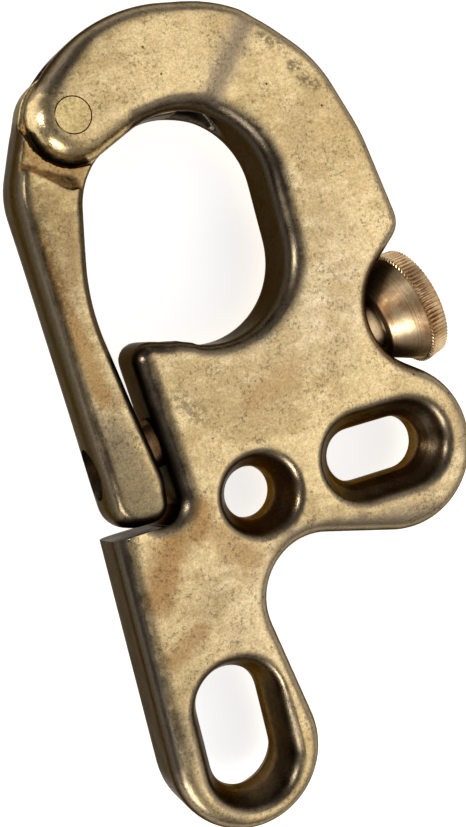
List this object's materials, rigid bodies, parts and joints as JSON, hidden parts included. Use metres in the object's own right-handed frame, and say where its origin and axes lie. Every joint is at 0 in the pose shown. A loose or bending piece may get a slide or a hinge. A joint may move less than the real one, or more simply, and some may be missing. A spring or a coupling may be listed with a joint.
{
  "type": "snap hank",
  "caption": "Cast bronze sail hank: open hook with a forked crown, a swinging gate latched by a spring plunger with a knurled knob, a round eye and oblong lashing slots.",
  "frame": {"origin": "centre of the round eye, half way through the thickness of the casting", "axes": "+Z is square to the flat faces, +Y runs from the eye to the crown of the hook, and +X points to the side slot and the pull knob"},
  "size_m": [0.0558, 0.1103, 0.0168],
  "materials": {
    "cast_bronze": "satin cast bronze, worn golden on the faces and brown at the edges",
    "gate_bronze": "satin cast bronze, a little darker than the body",
    "rivet_bronze": "filed flush and satin",
    "plunger_bronze": "turned, dulled by use",
    "spring_wire": "drawn wire",
    "knob_bronze": "turned copper-brown bronze with straight knurling on the rim"
  },
  "bodies": {
    "frame": {"body": "cast_bronze", "hinge_rivet": "rivet_bronze", "plunger_spring": "spring_wire"},
    "gate": {"gate": "gate_bronze"},
    "plunger": {"plunger": "plunger_bronze", "pull_knob": "knob_bronze"}
  },
  "joints": [
    {"name": "gate_hinge", "type": "hinge", "parent": "frame", "child": "gate", "pos_m": [-0.01278, 0.05381, 0], "axis": [0, 0, -1], "range_deg": [0, 70]},
    {"name": "plunger_slide", "type": "slide", "parent": "frame", "child": "plunger", "axis": [0.9774, 0.2113, 0], "range_m": [0, 0.0068], "stiffness_N_per_m": 1400, "springref_m": -0.002, "deforming": ["plunger_spring"]}
  ]
}
